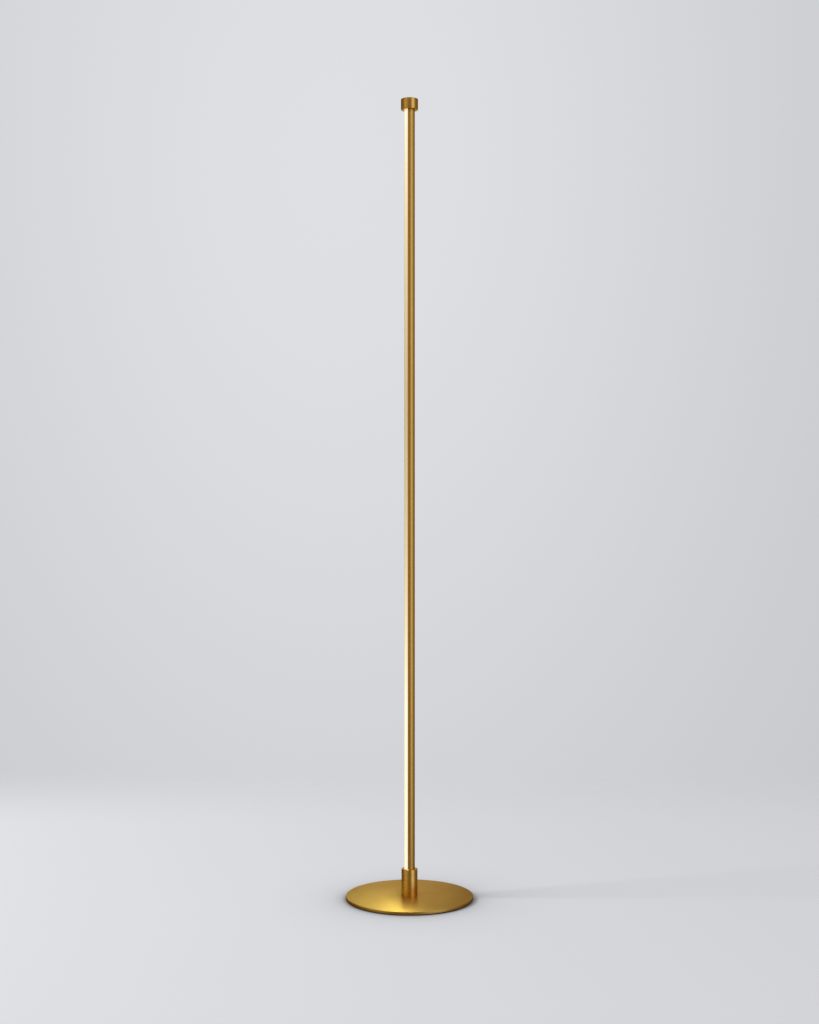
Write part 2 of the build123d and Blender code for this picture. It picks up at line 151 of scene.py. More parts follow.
class LampColours(bpy.types.PropertyGroup):
    """Colours of the lamp's finishes, and how brightly it glows"""

    brass: colour("Brass", "Brass finish", "#DEB86C")
    brass_low: colour("Brass in the strokes", "Brass finish at the bottom of its strokes", "#D0A657")
    brass_graze: colour("Brass at a low angle", "Tint of the brass seen at a low angle", "#F3D6A8")
    opal: colour("Opal", "Diffuser as the studio's light shows it", "#B9A488")
    glow_end: colour("Glow at the ends", "Light of the diffuser near its ends", "#FFFBE2")
    glow_middle: colour("Glow in the middle", "Light of the diffuser in its dimmer middle", "#FFE299")
    glow_end_strength: strength("End strength", "Strength of the glow near the ends", 0.72)
    glow_middle_strength: strength("Middle strength", "Strength of the glow in the middle", 0.21)
    spill: colour("Spill", "Light that the diffuser throws on the plate", "#EBFFE0")
    spill_power: power("Spill power", "Power of that light from the diffuser's middle", 2.9)
    foam: colour("Foam", "Pad under the plate", "#232323")
    rubber: colour("Rubber", "Grommet and friction ring", "#1C1C1D")
    black_steel: colour("Blackened steel", "Screws and bolt", "#4A4A4C")
    aluminium: colour("Bare aluminium", "Plug and insert in the column", "#D4D5D8")
    acetal: colour("Acetal", "Bush in the collar", "#E6E3DA")
    solder_mask: colour("Solder mask", "Face of the board", "#EEEEEA")
    phosphor: colour("Phosphor", "Bead along the board", "#F2CE4E")
    nylon: colour("Nylon", "Connector at the end of the leads", "#E4E1D6")
    lead_red: colour("Red lead", "Insulation of the positive lead", "#B3201A")
    lead_black: colour("Black lead", "Insulation of the negative lead", "#222224")


class StudioLook(bpy.types.PropertyGroup):
    """Colours and lights of the studio"""

    floor: colour("Floor", "Painted floor", "#E9EAEE")
    backdrop: colour("Backdrop", "Lit part of the backdrop", "#DEE0E4")
    backdrop_edge: colour("Backdrop's edge", "Backdrop away from its light", "#C6C8CC")
    drape: colour("Drape", "Dark drapes behind the lamp, which only reflections show", "#54401F")
    room: colour("Room", "Dim room between the drapes and the soft boxes", "#86734A")
    left_box: colour("Left box", "Cloth of the soft box at the left", "#C6B998")
    right_box: colour("Right box", "Cloth of the soft box at the right", "#FFFFFF")
    ambient: strength("Ambient", "Even light from all round", 0.6)
    ring_strength: strength("Ring strength", "Strength of the boxes and drapes round the lamp", 1.04)
    key_power: power("Key power", "Power of the light that casts the shadow", 198.0)


def add_object(name, data):
    """A new object in the scene, for a mesh, a light or a camera."""
    new_object = bpy.data.objects.new(name, data)
    bpy.context.scene.collection.objects.link(new_object)
    return new_object


def smooth(mesh):
    """Shades a mesh smooth, with its sharp edges kept."""
    mesh.shade_smooth()
    mesh.set_sharp_from_angle(angle=SHARP_ANGLE)


def piece_from(bm, name):
    """A smooth-shaded piece from a finished bmesh."""
    bmesh.ops.recalc_face_normals(bm, faces=bm.faces)
    mesh = bpy.data.meshes.new(name)
    bm.to_mesh(mesh)
    bm.free()
    smooth(mesh)
    return add_object(name, mesh)


def eased(corners):
    """The closed line through (x, y, ease) corners, each rounded to the radius of its ease."""
    line = []
    for before, corner, after in zip(corners[-1:] + corners[:-1], corners, corners[1:] + corners[:1]):
        point, ease = Vector(corner[:2]), corner[2]
        if not ease:
            line.append(point)
            continue
        back = (Vector(before[:2]) - point).normalized()
        ahead = (Vector(after[:2]) - point).normalized()
        half = back.angle(ahead) / 2
        centre = point + (back + ahead).normalized() * ease / sin(half)
        start = point + back * ease / tan(half) - centre
        end = point + ahead * ease / tan(half) - centre
        for step in range(CORNER_STEPS + 1):
            line.append(centre + start.lerp(end, step / CORNER_STEPS).normalized() * ease)
    return line


def lathe(name, line):
    """A solid turned about Z from a line of (radius, height) that closes, or ends on the axis."""
    bm = bmesh.new()
    ring = [bm.verts.new((point.x, 0.0, point.y)) for point in line]
    pairs = list(zip(ring, ring[1:]))
    if line[0].x > 0.0:
        pairs.append((ring[-1], ring[0]))
    outline = ring + [bm.edges.new(pair) for pair in pairs]
    centre, axis = (0, 0, 0), (0, 0, 1)
    bmesh.ops.spin(
        bm, geom=outline, cent=centre, axis=axis, angle=2 * pi, steps=LATHE_STEPS, use_merge=True
    )
    bmesh.ops.remove_doubles(bm, verts=bm.verts, dist=WELD_DISTANCE)
    return piece_from(bm, name)


def polar(radius, bearing):
    """A point of the column's section, by its radius and its bearing from +X."""
    return Vector((radius * cos(bearing), radius * sin(bearing)))


def arc(radius, start, end, centre=Vector((0.0, 0.0))):
    """Points along an arc, from one bearing to another."""
    steps = max(2, ceil(degrees(abs(end - start)) / ARC_STEP))
    return [centre + polar(radius, start + (end - start) * step / steps) for step in range(steps + 1)]


def snap_line(wall_radius, start, end, seat_radius, snap_radius, bearing):
    """An arc of a wall, from one bearing to a larger one, and the half-round snap that stands out of it."""
    reach = acos((wall_radius**2 - seat_radius**2 - snap_radius**2) / (2 * seat_radius * snap_radius))
    half = asin(snap_radius * sin(reach) / wall_radius)
    snap = arc(snap_radius, bearing - reach, bearing + reach, polar(seat_radius, bearing))
    return arc(wall_radius, start, bearing - half)[:-1] + snap + arc(wall_radius, bearing + half, end)[1:]


def mirrored(line):
    """A line of the section's +Y side on its -Y side, in the opposite order."""
    return [Vector((point.x, -point.y)) for point in reversed(line)]


def extruded(name, loops, bottom, top):
    """A solid between two heights, with a section of closed loops: its outside, then its holes."""
    bm = bmesh.new()
    edges = []
    for loop in loops:
        ring = [bm.verts.new((point.x, point.y, bottom)) for point in loop]
        edges += [bm.edges.new(pair) for pair in zip(ring, ring[1:] + ring[:1])]
    bmesh.ops.triangle_fill(bm, edges=edges, use_beauty=True)
    raised = bmesh.ops.extrude_face_region(bm, geom=bm.faces[:])["geom"]
    corners = [item for item in raised if isinstance(item, bmesh.types.BMVert)]
    bmesh.ops.translate(bm, verts=corners, vec=(0, 0, top - bottom))
    return piece_from(bm, name)


def drill(piece, holes):
    """Cuts round holes, each with a radius and its two ends, out of a piece."""
    bits = []
    for radius, start, end in holes:
        way = Vector(end) - Vector(start)
        turn = way.to_track_quat("Z", "Y").to_matrix().to_4x4()
        bm = bmesh.new()
        bmesh.ops.create_cone(
            bm,
            cap_ends=True,
            segments=BIT_STEPS,
            radius1=radius,
            radius2=radius,
            depth=way.length,
            matrix=Matrix.Translation(Vector(start) + way / 2) @ turn,
        )
        bits.append(piece_from(bm, "drill_bit"))
        cut = piece.modifiers.new("Drill", "BOOLEAN")
        cut.operation = "DIFFERENCE"
        cut.solver = "EXACT"
        cut.object = bits[-1]
    bm = bmesh.new()
    bm.from_object(piece, bpy.context.evaluated_depsgraph_get())
    # Where a corner of a bit meets a corner of the piece, the cut leaves edges with no length
    bmesh.ops.remove_doubles(bm, verts=bm.verts, dist=WELD_DISTANCE)
    bm.to_mesh(piece.data)
    bm.free()
    smooth(piece.data)
    piece.modifiers.clear()
    for bit in bits:
        bpy.data.meshes.remove(bit.data)


def middle_height(node):
    """The height of the middle of a node."""
    low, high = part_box(node)
    return (low.z + high.z) / 2


def seat(piece, node, body, material):
    """Puts a finished piece in a node's stead, with its material, on its body."""
    piece.data.materials.append(material)
    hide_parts(node)
    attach(piece, body)


def dress(node_names, material, ease=0.0):
    """Gives nodes of the frame a material, and eases their edges."""
    for name in node_names:
        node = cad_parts[name]
        for material_slot in node.material_slots:
            material_slot.material = material
        if ease:
            weld = node.modifiers.new("Weld", "WELD")
            weld.merge_threshold = WELD_DISTANCE
            bevel = node.modifiers.new("Ease", "BEVEL")
            bevel.width = ease
            bevel.segments = EDGE_STEPS
            bevel.angle_limit = SHARP_ANGLE


def add_node(tree, kind, inputs=None, **settings):
    """Adds a shader node with its settings, and sets or links the inputs that are given.

    A node given as an input stands for the first of its outputs that is in use.
    """
    node = tree.nodes.new("ShaderNode" + kind)
    for name, value in settings.items():
        setattr(node, name, value)
    for socket, value in (inputs or {}).items():
        if isinstance(value, bpy.types.Node):
            value = next(output for output in value.outputs if output.enabled)
        if isinstance(value, bpy.types.NodeSocket):
            tree.links.new(value, node.inputs[socket])
        else:
            node.inputs[socket].default_value = value
    return node


def new_material(name):
    """A new material and its empty node tree."""
    material = bpy.data.materials.new(name)
    material.use_nodes = True
    material.node_tree.nodes.clear()
    return material, material.node_tree


# How strokes show on brass: the range of their noise that counts, the swing of the gloss that they give,
# and the strength of their relief
STROKE_LOW = 0.3
STROKE_HIGH = 0.7
STROKE_GLOSS = 0.04
STROKE_RELIEF = 0.1
# Highlights are drawn out round the axis, or along it with a quarter of a turn
QUARTER_TURN = 0.25
# Leaves the height out of a place
FLAT = (1.0, 1.0, 0.0)


def brass_surface(tree, colours, strokes, wear, depth, roughness, stretch=0.0, stretch_turn=0.0):
    """Brass whose gloss and relief follow its strokes, and whose tone follows its wear."""
    tone = add_node(tree, "MapRange", {"Value": wear, "From Min": STROKE_LOW, "From Max": STROKE_HIGH})
    shade = add_node(
        tree, "Mix", {"Factor": tone, "A": colours.brass_low, "B": colours.brass}, data_type="RGBA"
    )
    gloss = add_node(
        tree,
        "MapRange",
        {
            "Value": strokes,
            "From Min": STROKE_LOW,
            "From Max": STROKE_HIGH,
            "To Min": roughness - STROKE_GLOSS,
            "To Max": roughness + STROKE_GLOSS,
        },
    )
    relief = add_node(tree, "Bump", {"Height": strokes, "Strength": STROKE_RELIEF, "Distance": depth})
    around = add_node(tree, "Tangent", direction_type="RADIAL", axis="Z")
    surface = add_node(
        tree,
        "BsdfPrincipled",
        {
            "Base Color": shade,
            "Metallic": 1.0,
            "Roughness": gloss,
            "Specular Tint": colours.brass_graze,
            "Anisotropic": stretch,
            "Anisotropic Rotation": stretch_turn,
            "Tangent": around,
            "Normal": relief,
        },
    )
    add_node(tree, "OutputMaterial", {"Surface": surface})


def circular_brushed_brass(colours):
    """Brass-plated steel brushed in circles, whose fine strokes spread light into an even satin sheen."""
    material, tree = new_material("Brass-plated steel, brushed in circles")
    # Real strokes are about 0.1 mm apart, so they are drawn 7 times as coarse to show
    stroke_width = 0.7 * MM
    stroke_depth = 0.01 * MM
    # The noise is read along a circle of this radius, so a turn holds 7 or 8 strokes end to end
    turn_radius = 1.2 * stroke_width
    # Half of the wear is in the strokes and half in soft clouds
    cloud_width = 45.0 * MM
    cloud_share = 0.5
    place = add_node(tree, "TexCoord").outputs["Object"]
    flat = add_node(tree, "VectorMath", {0: place, 1: FLAT}, operation="MULTIPLY")
    radius = add_node(tree, "VectorMath", {0: flat}, operation="LENGTH")
    heading = add_node(tree, "VectorMath", {0: flat}, operation="NORMALIZE")
    turn = add_node(tree, "VectorMath", {0: heading, "Scale": turn_radius}, operation="SCALE")
    strokes = add_node(
        tree,
        "TexNoise",
        {"Vector": turn, "W": radius, "Scale": 1 / stroke_width, "Detail": 3.0, "Roughness": 0.65},
        noise_dimensions="4D",
    )
    clouds = add_node(tree, "TexNoise", {"Vector": place, "Scale": 1 / cloud_width, "Detail": 2.0})
    wear = add_node(tree, "Mix", {"Factor": cloud_share, "A": strokes, "B": clouds})
    brass_surface(tree, colours, strokes, wear, depth=stroke_depth, roughness=0.4)
    return material


def turned_brass(colours):
    """Turned satin brass, whose fine rings from the tool draw a highlight out along the axis."""
    material, tree = new_material("Brass, turned and satin-finished")
    # The tool's rings are about 0.08 mm apart, so they are drawn 10 times as coarse to show
    ring_width = 0.8 * MM
    ring_depth = 0.003 * MM
    # Most of the wear is in soft clouds
    cloud_width = 12.0 * MM
    cloud_share = 0.8
    place = add_node(tree, "TexCoord").outputs["Object"]
    height = add_node(tree, "SeparateXYZ", {0: place}).outputs["Z"]
    flat = add_node(tree, "VectorMath", {0: place, 1: FLAT}, operation="MULTIPLY")
    radius = add_node(tree, "VectorMath", {0: flat}, operation="LENGTH")
    along = add_node(tree, "Math", {0: radius, 1: height}, operation="ADD")
    rings = add_node(
        tree,
        "TexNoise",
        {"W": along, "Scale": 1 / ring_width, "Detail": 3.0, "Roughness": 0.6},
        noise_dimensions="1D",
    )
    clouds = add_node(tree, "TexNoise", {"Vector": place, "Scale": 1 / cloud_width, "Detail": 2.0})
    wear = add_node(tree, "Mix", {"Factor": cloud_share, "A": rings, "B": clouds})
    brass_surface(
        tree,
        colours,
        rings,
        wear,
        depth=ring_depth,
        roughness=0.25,
        stretch=0.3,
        stretch_turn=QUARTER_TURN,
    )
    return material


def lengthwise_brushed_aluminium(colours):
    """Brass-tone anodised aluminium, whose lengthwise strokes blur what it reflects across the column."""
    material, tree = new_material("Aluminium, brushed lengthwise and anodised brass-tone")
    # Real strokes are about 0.05 mm wide, so they are drawn 12 times as coarse to show
    stroke_width = 0.6 * MM
    stroke_length = 900.0 * MM
    stroke_depth = 0.02 * MM
    in_strokes = (1 / stroke_width, 1 / stroke_width, 1 / stroke_length)
    place = add_node(tree, "TexCoord").outputs["Object"]
    drawn_out = add_node(tree, "VectorMath", {0: place, 1: in_strokes}, operation="MULTIPLY")
    strokes = add_node(
        tree, "TexNoise", {"Vector": drawn_out, "Scale": 1.0, "Detail": 3.0, "Roughness": 0.6}
    )
    brass_surface(tree, colours, strokes, strokes, depth=stroke_depth, roughness=0.36, stretch=0.3)
    return material


def lit_opal_acrylic(colours, bottom, top):
    """Extruded opal acrylic lit from inside, a satin glow that dims towards the middle of its length."""
    material, tree = new_material("Opal acrylic, extruded")
    acrylic_ior = 1.49
    # Faint lines from the extruder's die run the whole length
    line_width = 1.5 * MM
    line_length = 2500.0 * MM
    line_depth = 0.02 * MM
    line_relief = 0.05
    in_lines = (1 / line_width, 1 / line_width, 1 / line_length)
    satin, satin_swing = 0.4, 0.06
    # Shares of the length at which the glow is dimmest, and full again below and above
    dimmest, full_below, full_above = 0.6, 0.22, 1.0
    # The power by which it grows from dimmest to full
    growth = 1.5
    place = add_node(tree, "TexCoord").outputs["Object"]
    height = add_node(tree, "SeparateXYZ", {0: place}).outputs["Z"]
    share = add_node(tree, "MapRange", {"Value": height, "From Min": bottom, "From Max": top})
    below = add_node(tree, "MapRange", {"Value": share, "From Min": dimmest, "From Max": full_below})
    above = add_node(tree, "MapRange", {"Value": share, "From Min": dimmest, "From Max": full_above})
    either = add_node(tree, "Math", {0: below, 1: above}, operation="ADD")
    lit = add_node(tree, "Math", {0: either, 1: growth}, operation="POWER")
    glow = add_node(
        tree, "Mix", {"Factor": lit, "A": colours.glow_middle, "B": colours.glow_end}, data_type="RGBA"
    )
    brightness = add_node(
        tree,
        "MapRange",
        {"Value": lit, "To Min": colours.glow_middle_strength, "To Max": colours.glow_end_strength},
    )
    drawn_out = add_node(tree, "VectorMath", {0: place, 1: in_lines}, operation="MULTIPLY")
    lines = add_node(tree, "TexNoise", {"Vector": drawn_out, "Scale": 1.0, "Detail": 1.0})
    gloss = add_node(
        tree, "MapRange", {"Value": lines, "To Min": satin - satin_swing, "To Max": satin + satin_swing}
    )
    relief = add_node(tree, "Bump", {"Height": lines, "Strength": line_relief, "Distance": line_depth})
    surface = add_node(
        tree,
        "BsdfPrincipled",
        {
            "Base Color": colours.opal,
            "Roughness": gloss,
            "IOR": acrylic_ior,
            "Normal": relief,
            "Coat Weight": 1.0,
            "Coat Roughness": 0.15,
            "Coat IOR": acrylic_ior,
            "Emission Color": glow,
            "Emission Strength": brightness,
        },
    )
    add_node(tree, "OutputMaterial", {"Surface": surface})
    return material


# How an even grain shows: the tint's share left in its hollows, the swing of the gloss, the strength of its
# relief, and its depth as a share of its width
GRAIN_DARK = 0.7
GRAIN_GLOSS = 0.08
GRAIN_RELIEF = 0.3
GRAIN_DEPTH = 0.05
# The refraction that a metal keeps, and that of silicone
DEFAULT_IOR = 1.5
SILICONE_IOR = 1.41


def grained(name, tint, grain_width, roughness, ior=DEFAULT_IOR, metallic=0.0, glow=0.0):
    """A material with an even grain that breaks up its colour, its gloss and its surface.

    A grain under 0.3 mm wouldn't show even close up, so finer ones are drawn that coarse or coarser.
    """
    material, tree = new_material(name)
    place = add_node(tree, "TexCoord").outputs["Object"]
    grain = add_node(tree, "TexNoise", {"Vector": place, "Scale": 1 / grain_width, "Detail": 2.0})
    dark_tint = [GRAIN_DARK * channel for channel in tint[:3]] + [1.0]
    shade = add_node(tree, "Mix", {"Factor": grain, "A": dark_tint, "B": tint}, data_type="RGBA")
    gloss = add_node(
        tree,
        "MapRange",
        {"Value": grain, "To Min": roughness - GRAIN_GLOSS, "To Max": roughness + GRAIN_GLOSS},
    )
    relief = add_node(
        tree, "Bump", {"Height": grain, "Strength": GRAIN_RELIEF, "Distance": GRAIN_DEPTH * grain_width}
    )
    surface = add_node(
        tree,
        "BsdfPrincipled",
        {
            "Base Color": shade,
            "Metallic": metallic,
            "Roughness": gloss,
            "IOR": ior,
            "Normal": relief,
            "Emission Color": tint,
            "Emission Strength": glow,
        },
    )
    add_node(tree, "OutputMaterial", {"Surface": surface})
    return material


class LAMP_OT_base_plate(bpy.types.Operator):
    """Make the round plate, with eased edges and a countersink for its bolt"""

    bl_idname = "lamp.base_plate"
    bl_label = "Base plate"

    def execute(self, context):
        sizes = context.scene.lamp_sizes
        low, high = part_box("base_plate")
        hole = sizes.bolt / 2 + sizes.bolt_head_gap
        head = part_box("base_bolt")[1].x + sizes.bolt_head_gap
        line = eased(
            [
                (hole, high.z, 0.0),
                (high.x, high.z, sizes.plate_ease),
                (high.x, low.z, sizes.plate_ease),
                (head, low.z, 0.0),
                (hole, low.z + head - hole, 0.0),
            ]
        )
        brass = circular_brushed_brass(context.scene.lamp_colours)
        seat(lathe("round_plate", line), "base_plate", "base", brass)
        return {"FINISHED"}


class LAMP_OT_base_pad(bpy.types.Operator):
    """Make the foam pad under the plate"""

    bl_idname = "lamp.base_pad"
    bl_label = "Base pad"

    def execute(self, context):
        tint = context.scene.lamp_colours.foam
        ease = context.scene.lamp_sizes.pad_ease
        low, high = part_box("base_pad")
        line = eased([(0.0, high.z, 0.0), (high.x, high.z, ease), (high.x, low.z, ease), (0.0, low.z, 0.0)])
        # EVA foam cut from a sheet: matt, with cells of about 0.5 mm
        foam = grained("EVA foam, cut from sheet", tint, grain_width=0.5 * MM, roughness=0.85)
        seat(lathe("anti_slip_pad", line), "base_pad", "base", foam)
        return {"FINISHED"}


def drill_rear(piece, outside, holes):
    """Drills holes, each with a radius, where it starts and its height, out through a piece's rear."""
    drill(piece, [(radius, (0, start, height), (0, outside, height)) for radius, start, height in holes])


def turned_collar(sizes, mouth):
    """The collar, with its bolt's hole, its chamber, the column's mouth and the holes at its rear."""
    low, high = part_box("collar")
    bolt_hole = sizes.bolt / 2 + sizes.thread_gap
    bolt_hole_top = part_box("base_bolt")[1].z + sizes.bolt_spare
    chamber = sizes.journal / 2 + sizes.bush_wall + sizes.bush_gap
    chamber_floor = bolt_hole_top + sizes.floor_skin
    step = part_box("swivel_bush")[0].z + sizes.bush_length
    line = eased(
        [
            (0.0, bolt_hole_top, 0.0),
            (bolt_hole, bolt_hole_top, 0.0),
            (bolt_hole, low.z, 0.0),
            (high.x, low.z, 0.0),
            (high.x, high.z, sizes.collar_ease),
            (mouth, high.z, sizes.mouth_ease),
            (mouth, step, 0.0),
            (chamber, step, 0.0),
            (chamber, chamber_floor, 0.0),
            (0.0, chamber_floor, 0.0),
        ]
    )
    collar = lathe("turned_collar", line)
    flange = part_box("cord_grommet")[1]
    spot_face = flange.x + sizes.spot_face_gap
    sleeve_hole = sizes.grommet_bore / 2 + sizes.grommet_wall + sizes.grommet_gap
    screw_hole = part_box("retaining_screw")[1].x + sizes.thread_gap
    grommet_height = middle_height("cord_grommet")
    holes = [
        (spot_face, flange.y - sizes.grommet_flange, grommet_height),
        (sleeve_hole, 0.0, grommet_height),
        (screw_hole, 0.0, middle_height("retaining_screw")),
    ]
    drill_rear(collar, 2 * high.y, holes)
    return collar


def turned_cap(sizes, mouth):
    """The cap, with the column's mouth and the screw's hole at its rear."""
    low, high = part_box("top_cap")
    roof = high.z - sizes.cap_roof
    line = eased(
        [
            (0.0, high.z, 0.0),
            (high.x, high.z, sizes.cap_ease),
            (high.x, low.z, sizes.cap_ease),
            (mouth, low.z, sizes.mouth_ease),
            (mouth, roof, 0.0),
            (0.0, roof, 0.0),
        ]
    )
    cap = lathe("turned_cap", line)
    screw_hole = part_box("cap_set_screw")[1].x + sizes.thread_gap
    drill_rear(cap, 2 * high.y, [(screw_hole, 0.0, middle_height("cap_set_screw"))])
    return cap


class LAMP_OT_turned_pieces(bpy.types.Operator):
    """Make the collar on the plate and the cap on the column, with the holes at their rear"""

    bl_idname = "lamp.turned_pieces"
    bl_label = "Collar and cap"

    def execute(self, context):
        sizes = context.scene.lamp_sizes
        brass = turned_brass(context.scene.lamp_colours)
        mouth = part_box("column_profile")[1].x + sizes.mouth_gap
        seat(turned_collar(sizes, mouth), "collar", "base", brass)
        seat(turned_cap(sizes, mouth), "top_cap", "column", brass)
        return {"FINISHED"}


class LAMP_OT_column_profile(bpy.types.Operator):
    """Make the extruded profile, with its web, its rear chamber and a snap groove behind each lip"""

    bl_idname = "lamp.column_profile"
    bl_label = "Column profile"

    def execute(self, context):
        sizes = context.scene.lamp_sizes
        low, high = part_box("column_profile")
        outer = high.x
        inner = outer - sizes.profile_wall
        lip = pi - sizes.slot_half_angle
        web_back = sizes.web_setback + sizes.web_thickness
        web_bearing = acos(sizes.web_setback / inner)
        chamber_bearing = acos(web_back / inner)
        ease = sizes.lip_ease / outer
        lip_edge = [polar(outer - sizes.lip_ease, lip), polar(outer, lip - ease)]
        groove_wall = snap_line(
            inner,
            web_bearing,
            lip,
            inner - sizes.clip_gap,
            sizes.snap_radius + sizes.snap_gap,
            lip - sizes.clip_reach + sizes.snap_inset,
        )
        back = arc(outer, lip - ease, ease - lip)[1:-1]
        outside = groove_wall + lip_edge + back + mirrored(groove_wall + lip_edge)
        rear_chamber = arc(inner, -chamber_bearing, chamber_bearing)
        profile = extruded("light_profile", [outside, rear_chamber], low.z, high.z)
        holes = []
        for node in ("plug_screw", "insert_screw"):
            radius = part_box(node)[1].y + sizes.thread_gap
            height = middle_height(node)
            holes.append((radius, (web_back + radius, 0, height), (2 * outer, 0, height)))
        drill(profile, holes)
        finish = lengthwise_brushed_aluminium(context.scene.lamp_colours)
        seat(profile, "column_profile", "column", finish)
        return {"FINISHED"}


# Strips of light up the diffuser's bright lower end: degrees from its middle, and share of the power
SPILL_STRIPS = ((-60.0, 0.07), (0.0, 1.0), (60.0, 0.07))
SPILL_WIDTH = 5.0 * MM
SPILL_LENGTH = 320.0 * MM
# From the collar up to the strips, and from the diffuser out to them
SPILL_LIFT = 20.0 * MM
SPILL_STANDOFF = 0.05 * MM


def spill_lights(colours, radius, bottom):
    """Adds strips of light up the diffuser's lower end, which light the plate as the diffuser does."""
    for offset, share in SPILL_STRIPS:
        bearing = pi + radians(offset)
        strip_data = bpy.data.lights.new("spill", "AREA")
        strip_data.shape = "RECTANGLE"
        strip_data.size = SPILL_WIDTH
        strip_data.size_y = SPILL_LENGTH
        strip_data.color = colours.spill[:3]
        strip_data.energy = share * colours.spill_power
        strip = add_object(strip_data.name, strip_data)
        strip.location = (*polar(radius + SPILL_STANDOFF, bearing), bottom + SPILL_LENGTH / 2)
        strip.rotation_euler = (pi / 2, 0.0, bearing - pi / 2)
        strip.visible_camera = False
        strip.visible_diffuse = False
        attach(strip, "column")


class LAMP_OT_diffuser(bpy.types.Operator):
    """Make the opal diffuser, with the two clips that snap behind the profile's lips, and its light"""

    bl_idname = "lamp.diffuser"
    bl_label = "Diffuser"

    def execute(self, context):
        sizes, colours = context.scene.lamp_sizes, context.scene.lamp_colours
        low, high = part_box("diffuser")
        outer = -low.x
        lip = pi - sizes.slot_half_angle
        start = lip + sizes.diffuser_seam / outer
        clip_outer = outer - sizes.profile_wall - sizes.clip_gap
        clip_inner = clip_outer - sizes.clip_wall
        clip_end = lip - sizes.clip_reach
        clip_root = lip + sizes.clip_root
        ease = sizes.lip_ease / outer
        clip = snap_line(
            clip_outer, clip_end, start, clip_outer, sizes.snap_radius, clip_end + sizes.snap_inset
        )
        clip_front = [polar(clip_inner, clip_end)] + clip + [polar(outer - sizes.lip_ease, start)]
        face = arc(outer, start + ease, 2 * pi - start - ease)
        clip_back = arc(clip_inner, clip_root, clip_end)[:-1]
        inside = arc(outer - sizes.diffuser_wall, 2 * pi - clip_root, clip_root)
        outline = clip_front + face + mirrored(clip_front) + mirrored(clip_back) + inside + clip_back
        diffuser = extruded("opal_diffuser", [outline], low.z, high.z)
        seat(diffuser, "diffuser", "column", lit_opal_acrylic(colours, low.z, high.z))
        spill_lights(colours, outer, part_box("collar")[1].z + SPILL_LIFT)
        return {"FINISHED"}


class LAMP_OT_rubber_pieces(bpy.types.Operator):
    """Make the grommet at the collar's rear, and dress the swivel's friction ring"""

    bl_idname = "lamp.rubber_pieces"
    bl_label = "Grommet and friction ring"

    def execute(self, context):
        sizes = context.scene.lamp_sizes
        tint = context.scene.lamp_colours.rubber
        # Moulded rubber: matt black, with the fine spark-eroded grain of its mould
        rubber = grained("Rubber, moulded", tint, grain_width=0.3 * MM, roughness=0.6, ior=1.52)
        low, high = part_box("cord_grommet")
        bore = sizes.grommet_bore / 2
        sleeve = bore + sizes.grommet_wall
        seat_plane = high.y - sizes.grommet_flange
        ease = sizes.grommet_ease
        line = eased(
            [
                (bore, low.y, ease / 2),
                (bore, high.y, ease),
                (high.x, high.y, ease),
                (high.x, seat_plane, 0.0),
                (sleeve, seat_plane, 0.0),
                (sleeve, low.y, ease / 2),
            ]
        )
        grommet = lathe("lead_grommet", line)
        lift = Matrix.Translation((0, 0, middle_height("cord_grommet")))
        grommet.data.transform(lift @ Matrix.Rotation(-pi / 2, 4, "X"))
        seat(grommet, "cord_grommet", "base", rubber)
        dress(["friction_ring"], rubber)
        return {"FINISHED"}


class LAMP_OT_screws(bpy.types.Operator):
    """Dress the bolt under the plate and the set screws"""

    bl_idname = "lamp.screws"
    bl_label = "Bolt and set screws"

    def execute(self, context):
        tint = context.scene.lamp_colours.black_steel
        # Steel blackened in hot salts: dark grey, with a dull oily gloss
        steel = grained("Steel, blackened", tint, grain_width=0.4 * MM, roughness=0.4, metallic=1.0)
        names = ["base_bolt", "retaining_screw", "plug_screw", "insert_screw", "cap_set_screw"]
        dress(names, steel, ease=0.12 * MM)
        return {"FINISHED"}


class LAMP_OT_swivel_fittings(bpy.types.Operator):
    """Dress the plug, the bush that it turns in, and the insert under the cap"""

    bl_idname = "lamp.swivel_fittings"
    bl_label = "Swivel plug, bush and insert"

    def execute(self, context):
        colours = context.scene.lamp_colours
        # Turned aluminium, left bare: pale grey metal with a fine tool grain
        aluminium = grained(
            "Aluminium, turned and bare",
            colours.aluminium,
            grain_width=0.5 * MM,
            roughness=0.38,
            metallic=1.0,
        )
        dress(["swivel_plug", "cap_insert"], aluminium)
        # Moulded acetal: waxy off-white with a soft gloss
        acetal = grained("Acetal, moulded", colours.acetal, grain_width=0.4 * MM, roughness=0.42, ior=1.48)
        dress(["swivel_bush"], acetal)
        return {"FINISHED"}


class LAMP_OT_light_engine(bpy.types.Operator):
    """Dress the board, its phosphor bead, the two leads and their connector"""

    bl_idname = "lamp.light_engine"
    bl_label = "Light engine"

    def execute(self, context):
        colours = context.scene.lamp_colours
        # White solder mask printed on the board: a smooth satin lacquer
        mask = grained("Solder mask, printed", colours.solder_mask, grain_width=0.6 * MM, roughness=0.4)
        dress(["led_board"], mask)
        # Silicone cast with phosphor powder: yellow, and lit by the dies under it
        bead = grained(
            "Silicone with phosphor, cast",
            colours.phosphor,
            grain_width=0.3 * MM,
            roughness=0.35,
            ior=SILICONE_IOR,
            glow=1.0,
        )
        dress(["led_phosphor"], bead)
        # Silicone insulation extruded over the wire: soft gloss with faint draw marks
        leads = (
            ("lead_positive", "Silicone, extruded red", colours.lead_red),
            ("lead_negative", "Silicone, extruded black", colours.lead_black),
        )
        for node, name, tint in leads:
            dress([node], grained(name, tint, grain_width=0.4 * MM, roughness=0.5, ior=SILICONE_IOR))
        # Moulded nylon: milky white, a little glossy
        nylon = grained("Nylon, moulded", colours.nylon, grain_width=0.5 * MM, roughness=0.4, ior=1.53)
        dress(["lead_connector"], nylon, ease=0.15 * MM)
        return {"FINISHED"}


